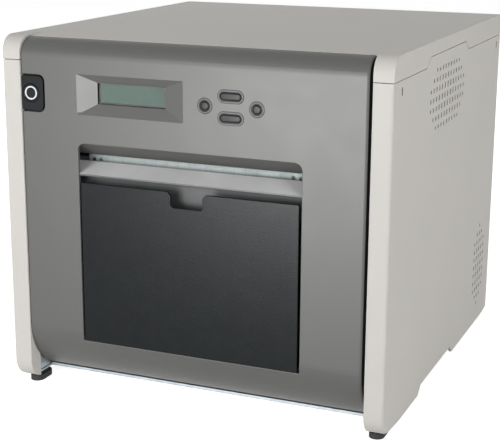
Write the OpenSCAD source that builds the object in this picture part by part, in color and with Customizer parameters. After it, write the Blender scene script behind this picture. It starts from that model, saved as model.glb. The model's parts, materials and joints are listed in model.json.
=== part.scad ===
// Compact roll-fed photo printer: a steel chassis between two moulded side panels,
// a top cover, a front door hinged at its foot, and a scrap bin behind the door's opening.
// X runs to the right, the front faces -Y, Z is up, and the origin lies under the middle
// of the casing, on the surface that the feet stand on.

/* [Casing] */
// Overall width
body_w = 322; // [318:1:336]
// Overall depth
body_d = 348; // [342:1:364]
// Height of the casing above its feet
body_h = 286; // [284:1:300]
// Height of the feet
foot_h = 8; // [7:0.5:12]
// Wall of the moulded casing
skin = 2.5; // [2:0.1:2.8]
// Width of each side panel's front edge
side_t = 15.7; // [15:0.1:17]
// Depth of the side panel's return behind its front edge
return_d = 14; // [12:0.5:14]
// Radius of the casing's top front corners
top_r = 14; // [12:0.5:16]
// Radius of the casing's bottom front corners
bottom_r = 18; // [14:0.5:20]
// Radius of the casing's rear corners
rear_r = 5; // [4:0.5:8]
// Drop of the top cover's skirt at the front and the rear
skirt = 18.5; // [17:0.5:20]
// Drop of the top cover's skirt along its raised middle
skirt_mid = 11; // [9:0.5:13]
// Distance from the front to the raised part of the seam
seam_from = 86; // [70:1:100]
// Length of the raised part of the seam with its ramps
seam_run = 136; // [120:1:150]
// Length of each ramp of the seam
seam_ramp = 12; // [8:1:16]
// Gap along the seam between top cover and side panels
seam_gap = 0.6; // [0.4:0.1:0.9]
// Depth of the sloped band along the top cover's front edge
brow_d = 21; // [15:1:25]
// Fall of the sloped band
brow_fall = 1.2; // [0.8:0.1:1.6]

/* [Vents and grips] */
// Width of a vent slot
slot_w = 2.6; // [2:0.1:3.2]
// Length of the longest vent slots
slot_l = 4.9; // [4:0.1:5.6]
// Distance between vent slots in a row
slot_pitch = 8.75; // [7:0.05:10]
// Distance between rows of vent slots
row_pitch = 7.7; // [7:0.1:9]
// Distance from the front to the middle of the upper vents
upper_vent_in = 154; // [150:1:170]
// Distance of the middle of the upper vents below the casing's top
upper_vent_down = 47; // [46:1:56]
// Half length of the upper vent field
upper_vent_a = 58; // [45:1:60]
// Half height of the upper vent field
upper_vent_b = 30; // [24:1:32]
// Distance from the rear to the middle of the lower vents
lower_vent_in = 46; // [40:1:60]
// Height of the middle of the lower vents above the casing's underside
lower_vent_up = 54; // [50:1:70]
// Half length of the lower vent field
lower_vent_a = 25; // [18:1:30]
// Half height of the lower vent field
lower_vent_b = 40; // [30:1:45]
// Distance from the front to the hand hold
grip_in = 98; // [90:1:110]
// Length of the hand hold
grip_l = 112; // [90:1:120]
// Height of the hand hold
grip_h = 3.8; // [3:0.1:5]
// Run of the slope at each end of the hand hold
grip_slope = 8; // [5:1:10]

/* [Chassis] */
// Thickness of the sheet steel
steel = 1.5; // [1.2:0.1:2]
// Step from the side panel's inner face to the steel side frame
frame_step = 0.5; // [0.3:0.1:0.8]
// Distance that the side panels hang below the casing's underside
panel_drop = 3; // [2:0.1:3.5]
// Gap below the steel base pan
pan_up = 0.5; // [0.4:0.1:1]
// Height of the base pan's front lip
pan_lip = 2.5; // [2:0.1:2.6]
// Distance from the front to the base pan's front lip
pan_in = 31.5; // [31:0.5:34]
// Gap between the side frames and the casing's top
frame_gap = 16; // [14:1:20]
// Width of a foot
foot_w = 12; // [10:0.5:12]
// Length of a foot
foot_l = 23; // [18:1:26]
// Distance of the feet from the front and the rear
foot_in = 12; // [11:0.5:16]

/* [Front door] */
// Thickness of the door's wall
door_t = 2.5; // [2:0.1:2.8]
// Set back of the door's face from the casing's front
door_set = 1; // [0.5:0.1:1.5]
// Gap between the door and the left side panel
door_gap_l = 0.6; // [0.5:0.1:1.2]
// Gap between the door and the right side panel
door_gap_r = 2; // [1.2:0.1:2.4]
// Fall of the door's top below the top cover
door_drop = 1.4; // [1.2:0.1:2]
// Radius of the door's rolled top
door_top_r = 15; // [12:0.5:15]
// Radius of the door's rolled foot
door_foot_r = 49; // [46:0.5:50]
// Height of the centre of the foot's roll above the casing's underside
door_foot_up = 49.5; // [49:0.5:51]
// Distance from the front to the end of the door's foot
door_end_in = 31; // [28:0.5:31]
// Distance from the front to the hinge line
hinge_in = 24; // [23:0.5:26]
// Height of the hinge line above the casing's underside
hinge_up = 19; // [18:0.5:20]
// Radius of a hinge pin
hinge_r = 2.5; // [2:0.1:3]
// Radial clearance of shafts and pins
run_gap = 0.05; // [0.03:0.01:0.1]

/* [Outlet and bin] */
// Sideways place of the middle of the door's opening
bay_x = -1.2; // [-4:0.1:2]
// Width of the door's opening
bay_w = 188.2; // [180:0.1:192]
// Height of the opening's bottom edge above the casing's underside
bay_low = 40; // [38:1:42]
// Distance of the opening's top edge below the casing's top
bay_down = 82; // [78:1:84]
// Radius of the opening's upper corners
bay_r = 5; // [3:0.5:6]
// Depth of the outlet's sloped ceiling and lip
throat_d = 16; // [14:0.5:17]
// Distance that ceiling and lip run on behind the door's face, past the opening
throat_out = 10; // [8:0.5:12]
// Fall of the outlet's ceiling
ceiling_fall = 10.8; // [9:0.1:11]
// Height of the slot between ceiling and lip
slot_high = 5.9; // [5:0.1:7]
// Fall of the lip from the slot to the door's face
lip_fall = 7.6; // [6:0.1:8]
// Thickness of the lip and the outlet's walls
throat_t = 2; // [1.6:0.1:2.4]
// Gap between the bin's front plate and the outlet's lip
bin_under = 7.1; // [6:0.1:14]
// Gap beside the bin's left edge
bin_gap_l = 1.1; // [0.8:0.1:1.6]
// Gap beside the bin's right edge
bin_gap_r = 2.1; // [1:0.1:2.4]
// Depth of the bin behind its face
bin_d = 59; // [50:1:60]
// Wall of the bin
bin_t = 2; // [1.6:0.1:2.4]
// Width of the bin's finger notch at its foot
notch_w = 27; // [22:1:34]
// Depth of the bin's finger notch
notch_h = 12.5; // [10:0.5:16]
// Length of the steel outlet strip
strip_w = 186.2; // [180:0.1:200]
// Sideways place of the middle of the steel outlet strip
strip_x = -4.6; // [-6:0.1:0]

/* [Controls] */
// Sideways place of the display's middle
lcd_x = -49.3; // [-52:0.1:-47]
// Distance of the display's middle below the casing's top
lcd_down = 41.9; // [40:0.1:44]
// Width of the display's window
lcd_w = 58.5; // [55:0.5:62]
// Height of the display's window
lcd_h = 16.5; // [14:0.5:18]
// Width of the sloped recess beside the window
lcd_side = 16.6; // [12:0.1:18]
// Height of the sloped recess above the window
lcd_over = 6.5; // [5:0.1:8]
// Height of the sloped recess below the window
lcd_under = 9; // [7:0.1:10]
// Depth of the sloped recess
lcd_d = 4; // [3:0.1:4.5]
// Sideways place of the middle of the keys
keys_x = 35.8; // [33:0.1:38]
// Distance of the middle of the keys below the casing's top
keys_down = 44.5; // [42:0.1:46]
// Distance of the round keys from the middle
round_out = 21.1; // [19:0.1:23]
// Distance of the long keys from the middle
long_out = 8.2; // [7.6:0.1:9]
// Radius of a round key
round_r = 4.3; // [3.6:0.1:4.8]
// Length of a long key
long_l = 17.8; // [15:0.1:19]
// Height of a long key
long_h = 6.6; // [5.6:0.1:7]
// Gap around a key
key_gap = 0.4; // [0.3:0.05:0.5]
// Width of the raised rim round a key
rim_w = 1.3; // [1:0.1:1.5]
// Height of the raised rim above the door's face
rim_h = 0.5; // [0.3:0.1:0.6]
// Height of a key above the door's face
key_proud = 0.8; // [0.5:0.1:0.9]
// Travel of a key
key_travel = 0.6; // [0.5:0.1:0.7]
// Width of the power tab
tab_w = 19.3; // [18:0.1:20]
// Height of the power tab
tab_h = 27; // [25:0.5:29]
// Distance of the power tab's middle below the casing's top
tab_down = 44.5; // [43:0.5:46]
// Groove around the power tab
tab_gap = 1.6; // [1:0.1:1.8]
// Radius of the power key
power_r = 7.2; // [6.5:0.1:7.2]

/* [Media] */
// Width of the paper roll
roll_w = 152; // [150:1:154]
// Radius of the paper roll
roll_r = 62; // [50:1:63]
// Radius of the paper spool's flanges
flange_r = 66; // [64:1:67]
// Distance from the front to the paper roll's middle
roll_in = 154; // [150:1:160]
// Height of the paper roll's middle above the casing's underside
roll_up = 76; // [74:1:80]
// Radius of the ribbon on its supply spool
supply_r = 19; // [14:0.5:19.5]
// Radius of the ribbon on its take-up spool
takeup_r = 13; // [11:0.5:14]

/* [Print drive] */
// Distance of the paper path below the casing's top
path_down = 93.5; // [92:0.1:94]
// Distance from the front to the platen roller
platen_in = 74; // [73:0.5:76]
// Distance between the platen roller and the drive roller
roller_gap = 40; // [40:1:40]
// Radius of the platen and drive rollers
roller_r = 9; // [8:0.5:9.5]
// Radius of the rollers' shafts
shaft_r = 4; // [3:0.5:4.5]
// Radius of the pinch roller
pinch_r = 6; // [5:0.5:6.2]
// Teeth on the two roller gears
gear_teeth = 24; // [24:1:24]
// Teeth on the idler gear and the motor pinion
idler_teeth = 16; // [16:1:16]
// Width of the gears
gear_w = 6; // [4:0.5:7]
// Radius of the drive motor
motor_r = 18; // [14:0.5:18.5]
// Length of the drive motor
motor_l = 32; // [26:1:36]

/* [Power and cooling] */
// Side of the square fan
fan_w = 80; // [76:1:84]
// Thickness of the fan
fan_t = 25; // [20:1:28]
// Width of the power supply
supply_w = 80; // [70:1:84]
// Depth of the power supply
supply_d = 88; // [80:1:90]
// Height of the power supply
supply_h = 50; // [40:1:60]
// Width of the mains inlet's socket
inlet_w = 24; // [23.5:0.1:25]
// Height of the mains inlet's socket
inlet_h = 16.5; // [16:0.1:17]

/* [Hidden] */
$fn = 64;
eps = 0.01;         // overshoot of a cutting tool
far = 20;           // overshoot past a wall
seat = 0.02;        // radial gap of a pressed seat
touch = 0.3;        // gap between pieces that rest on each other

// Casing
half_w = body_w / 2;
front = -body_d / 2;
rear = body_d / 2;
low = foot_h;
panel_low = low - panel_drop;
top = foot_h + body_h;
panel_in = half_w - side_t;
seam_z = top - skirt;
seam_mid_z = top - skirt_mid;
frame_in = panel_in + frame_step;
frame_out = frame_in + steel;
frame_front = front + return_d + 0.5;
pan_z = low + pan_up;
floor_z = pan_z + steel;
rear_face = rear - 1.5;                 // outer face of the rear cover
rear_inner = rear_face - skin;
frame_rear = rear_inner;
frame_top = top - frame_gap;
post_front_in = 24;                      // screw posts: distance from the front, from the rear and up or down
post_rear_in = 20;
post_low_up = 60;
post_mid_up = 118;
post_high_down = 71;
post_top_down = 51;
posts = [
    [front + post_front_in, low + post_low_up], [front + post_front_in, top - post_high_down],
    [rear - post_rear_in, low + post_mid_up], [rear - post_rear_in, top - post_top_down]
];
pad_l = 20;                              // length of a pad between top cover and side frame
lug_up = 14;                             // distance of a rear lug from the casing's underside or the seam

// Door
door_front = front + door_set;
door_left = -panel_in + door_gap_l;
door_right = panel_in - door_gap_r;
door_top = top - door_drop;
door_back = door_front + door_top_r;
foot_z = low + door_foot_up;
foot_y = door_front + door_foot_r;
door_end = front + door_end_in;
hinge_y = front + hinge_in;
hinge_z = low + hinge_up;
door_inner = door_front + door_t;       // inner face of the door's front wall
magnet_z = top - 22;
magnet_h = 11;
tab_z = top - tab_down;
lcd_z = top - lcd_down;
keys_z = top - keys_down;

// Outlet and bin
bay_l = bay_x - bay_w / 2;
bay_rt = bay_x + bay_w / 2;
bay_z0 = low + bay_low;
bay_z1 = top - bay_down;
throat_back = door_front + throat_d;
ceiling_z = bay_z1 - ceiling_fall;
lip_z = ceiling_z - slot_high;
lip_front_z = lip_z - lip_fall;
lip_front = door_front + 1.2;
bin_l = bay_l + bin_gap_l;
bin_rt = bay_rt - bin_gap_r;
bin_z0 = bay_z0 + 0.6;
bin_z1 = lip_front_z - bin_under;
bin_front = door_front + 0.8;
bin_back = bin_front + bin_d;
bin_side = 2;                            // set back of the bin's box from its face's edges
bin_low_back = 20;                       // the box's walls stop this far below the face's top
bin_box_z = bin_z1 - bin_low_back;

// Steel strip and cutter behind the outlet
strip_y = front + 23;
strip_t = 1.2;
beam_y = strip_y + strip_t;
beam_d = 8;
path_z = top - path_down;
beam_low_z = path_z - 19;
guard_y = door_back + 0.5;               // plate behind the bin's notch, folded from the beam
guard_t = 2;
hole_in = 4.6;                           // distance of the strip's outer hole from its end
hole_gap = 5.8;                          // distance between the two holes at an end
screw_out = strip_w / 2 - hole_in;
screw_z = path_z - 4.9;
screw_t = 1.4;
bed_y = front + 35.9;
bed_d = 8;
rail_y = front + 44;
rail_s = 8;
rail_z = path_z + 8;
carriage_w = 20;
carriage_wall = 5;                       // wall of the carriage above and below the rail
carriage_x = frame_in - carriage_w / 2 - 13.8;
wheel_r = 7;
wheel_t = 0.8;
wheel_y = bed_y - touch - wheel_t;
wheel_z = path_z + wheel_r - 2.5;

// Rollers and head
platen_y = front + platen_in;
drive_y = platen_y + roller_gap;
idler_y = (platen_y + drive_y) / 2;
roller_z = path_z - roller_r;
roller_w = roll_w + 8;
pinch_z = path_z + touch + pinch_r;
gear_m = roller_gap / (gear_teeth + idler_teeth);
gear_x = frame_out + 1.7;
pinion_z = roller_z - gear_m * idler_teeth;
shaft_end = gear_x + gear_w + 1;
head_y0 = platen_y - 12;
head_y1 = platen_y + 14;
head_z = path_z + touch;
head_t = 14;
arm_z = head_z + head_t;
arm_y = front + 154;
arm_pivot_z = arm_z + 9;
arm_w = roller_w + 8;
arm_h = 13;                              // height of the head arm's side walls
arm_end = 8;                             // how far the head arm reaches behind its pivot
arm_window = 28;                         // width of a window in the head arm
arm_pitch = 50;                          // distance between the windows
arm_rib = 12;                            // strip left between a window and the pivot
fin_d = 6;                               // depth of the grooves in the thermal head
pivot_r = 4;
supply_y = front + 114;
supply_z = top - 38;
takeup_y = front + 42;
takeup_z = top - 44;
spool_flange = 3;                        // how far a ribbon spool's flange stands over its film
core_r = 9;

// Keys
power_x = door_left + 8.3;
power_z = tab_z;
power_travel = 0.8;
tab_back = door_inner + 1.2;
power_back = tab_back + touch + 2.4;
key_back = door_inner + touch;
key_end = key_back + 2.4;
switch_y = key_end + key_travel + 0.1;

// Paper roll
roll_y = front + roll_in;
roll_z = low + roll_up;
paper_core_r = 30;
spool_shaft_r = 6;
cradle_x = roll_w / 2 + 8;
cradle_t = 4;

// Fan, board and power supply
fan_z = top - 86;
fan_x = 45;
fan_front = rear_inner - fan_t;
fan_hole = fan_w / 2 - 2;
hub_r = 17;                              // radius of the fan's hub
blade_l = fan_t - 7;                     // length of a fan blade across
blade_y = (fan_front + rear_inner) / 2 - 2;
bar_w = 4;                               // width of the bars of the fan and of its grille
board_x = -frame_in + 4;
board_t = 1.6;
board_z0 = low + 90;
board_z1 = frame_top - 55;
supply_back = 20;                        // gap between power supply and rear cover
inlet_x = frame_in - 45.8;
inlet_z = low + 30;
inlet_depth = 18;                        // depth of the mains inlet behind the rear cover
inlet_wall = 2;
pin_w = 2;                               // width of an inlet's pin
pin_h = 4;
usb_z = low + 118;
screw_r = 3;

// ---------- shared shapes ----------

module along_x(x0, x1) translate([x0, 0, 0]) rotate([90, 0, 90]) linear_extrude(x1 - x0) children();
module along_y(y0, y1) translate([0, y1, 0]) rotate([90, 0, 0]) linear_extrude(y1 - y0) children();
module along_z(z0, z1) translate([0, 0, z0]) linear_extrude(z1 - z0) children();
module box(a, b) translate(a) cube([b[0] - a[0], b[1] - a[1], b[2] - a[2]]);
module rect(x0, y0, x1, y1) translate([x0, y0]) square([x1 - x0, y1 - y0]);
module rod_x(x0, x1, y, z, r) translate([x0, y, z]) rotate([0, 90, 0]) cylinder(h = x1 - x0, r = r);
module rod_y(y0, y1, x, z, r) translate([x, y0, z]) rotate([-90, 0, 0]) cylinder(h = y1 - y0, r = r);
module both_sides() for (s = [0, 1]) mirror([s, 0, 0]) children();

// Rectangle with four corner radii, from the lower left anticlockwise
module corner_rect(x0, y0, x1, y1, r) {
    difference() {
        rect(x0, y0, x1, y1);
        rect(x0 - far, y0 - far, x0 + r[0], y0 + r[0]);
        rect(x1 - r[1], y0 - far, x1 + far, y0 + r[1]);
        rect(x1 - r[2], y1 - r[2], x1 + far, y1 + far);
        rect(x0 - far, y1 - r[3], x0 + r[3], y1 + far);
    }
    translate([x0 + r[0], y0 + r[0]]) circle(r[0]);
    translate([x1 - r[1], y0 + r[1]]) circle(r[1]);
    translate([x1 - r[2], y1 - r[2]]) circle(r[2]);
    translate([x0 + r[3], y1 - r[3]]) circle(r[3]);
}

module stadium(l, h) {
    rect(-l / 2 + h / 2, -h / 2, l / 2 - h / 2, h / 2);
    for (s = [-1, 1]) translate([s * (l / 2 - h / 2), 0]) circle(h / 2);
}

// Outline of the casing's side in Y and Z, drawn in by t
module side_outline(t) {
    corner_rect(front + t, panel_low + t, rear - t, top - t,
        [bottom_r - t, rear_r - t, rear_r - t, top_r - t]);
}

// Everything below the seam, which lies g under the top cover's edge
module below_seam(g) {
    s0 = front + seam_from;
    s1 = s0 + seam_run;
    polygon([
        [front - far, low - far], [rear + far, low - far], [rear + far, seam_z - g],
        [s1, seam_z - g], [s1 - seam_ramp, seam_mid_z - g],
        [s0 + seam_ramp, seam_mid_z - g], [s0, seam_z - g], [front - far, seam_z - g]
    ]);
}

// Toothed wheel along X: straight flanks, with backlash at the pitch circle
module gear_x_axis(teeth, x0, x1, y, z, turn) {
    pitch_r = gear_m * teeth / 2;
    step = 360 / teeth;
    root = pitch_r - 1.25 * gear_m;
    tip = pitch_r + 0.9 * gear_m;
    translate([x0, y, z]) rotate([90, 0, 90]) rotate(turn) linear_extrude(x1 - x0) {
        circle(root);
        for (i = [0 : teeth - 1]) rotate(i * step) polygon([
            [root - 0.6, -0.78 * gear_m], [tip, -0.3 * gear_m],
            [tip, 0.3 * gear_m], [root - 0.6, 0.78 * gear_m]
        ]);
    }
}

// ---------- casing ----------

module vent_field(cy, cz, a, b) {
    cols = floor(a / slot_pitch);
    rows = floor(b / row_pitch);
    for (i = [-cols : cols], j = [-rows : rows]) {
        away = pow(i * slot_pitch / a, 2) + pow(j * row_pitch / b, 2);
        h = slot_l * (1 - 0.45 * away);
        if (away < 1)
            rect(cy + i * slot_pitch - slot_w / 2, cz + j * row_pitch - h / 2,
                cy + i * slot_pitch + slot_w / 2, cz + j * row_pitch + h / 2);
    }
}

module side_panel() {
    grip_y = front + grip_in;
    difference() {
        union() {
            along_x(half_w - skin, half_w) intersection() {
                side_outline(0);
                below_seam(seam_gap);
            }
            along_x(panel_in, half_w - skin + eps) intersection() {
                difference() {
                    side_outline(0);
                    side_outline(skin);
                }
                below_seam(seam_gap);
                union() {
                    rect(front, panel_low, front + return_d, top);
                    rect(rear - skin, panel_low + skin, rear, top);
                }
            }
            along_x(panel_in, panel_in + skin) intersection() {
                side_outline(0);
                below_seam(seam_gap);
                rect(front, panel_low, front + return_d, top);
            }
            for (p = posts) rod_x(frame_out, half_w - skin + eps, p[0], p[1], 4);
        }
        along_x(half_w - skin - eps, half_w + eps) {
            vent_field(front + upper_vent_in, top - upper_vent_down, upper_vent_a, upper_vent_b);
            vent_field(rear - lower_vent_in, low + lower_vent_up, lower_vent_a, lower_vent_b);
            for (y = [front + 20.5, rear - 15.5])
                rect(y - slot_w / 2, seam_z - 11.5, y + slot_w / 2, seam_z - 5.5);
            polygon([
                [grip_y, low - far], [grip_y, panel_low], [grip_y + grip_slope, low + grip_h],
                [grip_y + grip_l - grip_slope, low + grip_h], [grip_y + grip_l, panel_low],
                [grip_y + grip_l, low - far]
            ]);
        }
    }
}

module side_panel_left() color("gainsboro") mirror([1, 0, 0]) side_panel();
module side_panel_right() color("gainsboro") side_panel();

module top_cover() color("gainsboro") {
    lip_y = door_back + 0.6;
    difference() {
        along_x(-half_w, half_w) difference() {
            side_outline(0);
            below_seam(0);
        }
        difference() {
            along_x(-half_w + skin, half_w - skin) side_outline(skin);
            both_sides() along_x(panel_in, panel_in + skin) rect(front, low, front + return_d, top);
            along_x(-panel_in - skin, panel_in + skin) rect(lip_y, top - 8, lip_y + skin, top);
        }
        along_x(-panel_in, panel_in) rect(front - far, low, lip_y, top + far);
        along_x(-panel_in, panel_in) polygon([
            [lip_y - far, top - brow_fall], [lip_y, top - brow_fall],
            [lip_y + brow_d, top], [lip_y + brow_d, top + far], [lip_y - far, top + far]
        ]);
    }
    for (y = [front + 44, rear - 64])
        both_sides() box([frame_in - 1, y, frame_top], [frame_out + 1, y + pad_l, top - skin + eps]);
}

module rear_cover() color("gainsboro") {
    gap = 0.5;
    difference() {
        box([-panel_in + gap, rear_inner, floor_z + touch], [panel_in - gap, rear_face, seam_z - seam_gap]);
        along_y(rear_inner - eps, rear_face + eps) {
            for (i = [-4 : 4]) {
                z = fan_z + i * 8;
                w = sqrt(pow(fan_hole, 2) - pow(i * 8, 2)) - 1;
                for (s = [-1, 1])
                    rect(fan_x + (s < 0 ? -w : 1.5), z - 2, fan_x + (s < 0 ? -1.5 : w), z + 2);
            }
            rect(inlet_x - inlet_w / 2 - 2.2, inlet_z - inlet_h / 2 - 2.2,
                inlet_x + inlet_w / 2 + 2.2, inlet_z + inlet_h / 2 + 2.2);
            rect(board_x + board_t - 0.4, usb_z - 6.4, board_x + board_t + 11.4, usb_z + 6.4);
            for (i = [0 : 13]) rect(-110 + i * 8, low + 30, -106 + i * 8, low + 60);
        }
        for (x = [-1, 1], z = [low + lug_up, seam_z - lug_up])
            rod_y(rear_inner - eps, rear_face + eps, x * (panel_in - 10), z, screw_r / 2 + 0.2);
    }
}

// Screws that hold the rear cover to the side frames' lugs
module cover_screws() color("silver")
    for (x = [-1, 1], z = [low + lug_up, seam_z - lug_up]) {
        rod_y(rear_face, rear_face + 1.4, x * (panel_in - 10), z, screw_r);
        rod_y(rear_inner - 5, rear_face + eps, x * (panel_in - 10), z, screw_r / 2);
    }

module feet() color("black")
    for (x = [-1, 1], y = [front + foot_in + foot_l / 2, rear - foot_in - foot_l / 2])
        translate([x * (frame_in + foot_w / 2 - 0.8), y, 0]) {
            along_z(0, panel_low) rotate(90) stadium(foot_l, foot_w);
            along_z(panel_low - eps, pan_z) rotate(90) stadium(foot_l - 6, foot_w - 4);
            cylinder(h = floor_z + 1, r = 2);
        }

// ---------- chassis ----------

module base_pan() color("lightsteelblue") difference() {
    union() {
        box([-frame_out, front + pan_in, pan_z], [frame_out, frame_rear, floor_z]);
        box([-frame_in + touch, front + pan_in, pan_z],
            [frame_in - touch, front + pan_in + steel, low + pan_lip + pan_up]);
        both_sides() {
            box([frame_in - 0.8, frame_front, pan_z], [frame_out, front + pan_in + eps, floor_z]);
            for (y = [front + foot_in, rear - foot_in - foot_l])
                box([frame_out - eps, max(y, frame_front), pan_z],
                    [half_w - skin - 1, y + foot_l, floor_z]);
        }
    }
    for (x = [-1, 1], y = [front + foot_in + foot_l / 2, rear - foot_in - foot_l / 2])
        translate([x * (frame_in + foot_w / 2 - 0.8), y, 0]) cylinder(h = floor_z + far, r = 2 + seat);
}

module side_frame(bushes) {
    along_x(frame_in, frame_out) difference() {
        corner_rect(frame_front, floor_z, frame_rear, frame_top, [2, 2, 6, 6]);
        translate([hinge_y, hinge_z]) circle(hinge_r + seat);
        for (y = [platen_y, drive_y]) translate([y, roller_z]) circle(shaft_r + 2 + seat);
        translate([drive_y, pinch_z]) circle(3 + run_gap);
        translate([arm_y, arm_pivot_z]) circle(pivot_r + seat);
        translate([supply_y, supply_z]) circle(pivot_r + run_gap);
        translate([takeup_y, takeup_z]) circle(pivot_r + run_gap);
        if (bushes) {
            translate([idler_y, roller_z]) circle(3 + seat);
            translate([idler_y, pinion_z]) circle(5);
        }
        rect(roll_y + 70, low + 40, frame_rear - 30, low + 90);
        corner_rect(drive_y + 30, frame_top - 140, frame_rear - 40, frame_top - 80, [6, 6, 6, 6]);
    }
    // Lugs that the rear cover's screws enter
    for (z = [low + lug_up, seam_z - lug_up])
        difference() {
            box([panel_in - 18, frame_rear - steel, z - 7], [frame_out, frame_rear, z + 7]);
            rod_y(frame_rear - far, frame_rear + far, panel_in - 10, z, screw_r / 2 + seat);
        }
}

module side_frame_left() color("lightsteelblue") mirror([1, 0, 0]) side_frame(true);
module side_frame_right() color("lightsteelblue") side_frame(false);

// Cross beam under the paper path, with a plate folded down behind the bin's finger notch
module exit_beam() color("lightsteelblue") difference() {
    union() {
        box([-frame_in, beam_y, beam_low_z], [frame_in, beam_y + beam_d, path_z - 3.5]);
        box([-frame_in, guard_y, beam_low_z], [frame_in, beam_y + eps, beam_low_z + guard_t]);
        box([-frame_in, guard_y, bin_box_z + 1.4], [frame_in, guard_y + guard_t, beam_low_z + guard_t]);
    }
    for (s = [-1, 1]) rod_y(beam_y - 1, beam_y + 5, strip_x + s * screw_out, screw_z, screw_t + seat);
}

module exit_strip() color("silver") difference() {
    box([strip_x - strip_w / 2, strip_y, path_z - 12], [strip_x + strip_w / 2, beam_y, path_z - 0.9]);
    for (s = [-1, 1], d = [0, hole_gap])
        rod_y(strip_y - far, beam_y + eps, strip_x + s * (screw_out - d), screw_z, screw_t + 0.1);
}

module strip_screws() color("dimgray")
    for (x = [strip_x - screw_out, strip_x + screw_out]) difference() {
        rod_y(strip_y - 0.4, beam_y + 4.5, x, screw_z, screw_t);
        box([x - 1, strip_y - 1, screw_z - 0.25], [x + 1, strip_y, screw_z + 0.25]);
    }

module cutter_bed() color("silver")
    box([-frame_in, bed_y, path_z - 14], [frame_in, bed_y + bed_d, path_z - 0.3]);

module cutter_rail() color("silver")
    box([-frame_in, rail_y, rail_z], [frame_in, rail_y + rail_s, rail_z + rail_s]);

module cutter_carriage() color("dimgray") difference() {
    box([carriage_x - carriage_w / 2, rail_y - 12, rail_z - carriage_wall],
        [carriage_x + carriage_w / 2, rail_y + rail_s + 4, rail_z + rail_s + carriage_wall]);
    box([carriage_x - far, rail_y - touch, rail_z - touch],
        [carriage_x + far, rail_y + rail_s + touch, rail_z + rail_s + touch]);
    rod_y(rail_y - 12 - eps, wheel_y + wheel_t + touch, carriage_x, wheel_z, wheel_r + 0.5);
    rod_y(rail_y - 13, rail_y - 6, carriage_x, wheel_z, 1.5 + run_gap);
}

module cutter_wheel() color("silver") {
    rod_y(wheel_y, wheel_y + wheel_t, carriage_x, wheel_z, wheel_r);
    rod_y(wheel_y - 0.5, rail_y - 6.2, carriage_x, wheel_z, 1.5);
}

module paper_guide() color("lightsteelblue") {
    y0 = platen_y + roller_r + 3;
    y1 = drive_y - roller_r - 3;
    box([-frame_in, y0, path_z - 3], [frame_in, y1, path_z - 3 + steel]);
    both_sides() box([frame_in - steel, y0, path_z - 6], [frame_in, y1, path_z - 3 + eps]);
}

module head_shaft() color("silver") rod_x(-frame_out, frame_out, arm_y, arm_pivot_z, pivot_r);

module roller_bushes() color("goldenrod")
    for (y = [platen_y, drive_y]) both_sides() difference() {
        union() {
            rod_x(frame_in - 1, frame_out + 0.4, y, roller_z, shaft_r + 2);
            rod_x(frame_in - 1, frame_in, y, roller_z, shaft_r + 2.8);
        }
        rod_x(frame_in - far, frame_out + far, y, roller_z, shaft_r + run_gap);
    }

module spool_cradles() color("lightsteelblue") both_sides() {
    difference() {
        box([cradle_x, roll_y - 22, floor_z], [cradle_x + cradle_t, roll_y + 22, roll_z + 6]);
        rod_x(cradle_x - far, cradle_x + far, roll_y, roll_z, spool_shaft_r + run_gap);
        box([cradle_x - eps, roll_y - spool_shaft_r - run_gap, roll_z],
            [cradle_x + far, roll_y + spool_shaft_r + run_gap, roll_z + far]);
    }
    box([cradle_x, roll_y - 22, floor_z], [cradle_x + 16, roll_y + 22, floor_z + steel]);
}

// Shelf that the scrap bin slides on, carried between the side frames
module bin_shelf() color("lightsteelblue") {
    z1 = bin_z0 - touch;
    z0 = z1 - steel;
    back = bin_back + 8;
    box([bin_l + 4, front + 17, z0], [bin_rt - 4, back, z1]);
    box([-frame_in, bin_back - 9, z0], [frame_in, back, z1]);
    box([-frame_in, back - steel, z0], [frame_in, back, z1 + 20]);
    both_sides() box([frame_in - steel, bin_back - 9, z0], [frame_in, back, z1 + 20]);
}

module door_hinge_pins() color("silver") both_sides() {
    rod_x(panel_in - 9, frame_out + eps, hinge_y, hinge_z, hinge_r);
    rod_x(frame_out, frame_out + 1.5, hinge_y, hinge_z, hinge_r + 1.5);
}

module strike_plates() color("silver") both_sides() {
    y = door_back + 4;
    h = magnet_h / 2 + 1;
    box([panel_in - 14, y, magnet_z - h], [frame_in, y + steel, magnet_z + h]);
    box([frame_in - steel, y, magnet_z - h], [frame_in, y + 14, magnet_z + h]);
}

module drive_motor() color("dimgray") difference() {
    union() {
        rod_x(-frame_in, -frame_in + motor_l, idler_y, pinion_z, motor_r);
        rod_x(-frame_in + motor_l - eps, -frame_in + motor_l + 3, idler_y, pinion_z, 6);
    }
    rod_x(-frame_in - far, -frame_in + motor_l - 4, idler_y, pinion_z, 2.5 + run_gap);
}

module idler_pin() color("silver") rod_x(-shaft_end, -frame_in, idler_y, roller_z, 3);

module power_supply() color("silver") difference() {
    x1 = frame_in - 4;
    y1 = rear_inner - supply_back;
    union() {
        box([x1 - supply_w, y1 - supply_d, floor_z], [x1, y1, floor_z + supply_h]);
        box([x1 - supply_w - 8, y1 - supply_d + 10, floor_z],
            [x1 - supply_w + eps, y1 - supply_d + 30, floor_z + steel]);
    }
    for (i = [0 : 7])
        box([x1 - supply_w + 8 + i * 8, y1 - supply_d + 12, floor_z + supply_h - 4],
            [x1 - supply_w + 11 + i * 8, y1 - 14, floor_z + supply_h + far]);
}

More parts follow.
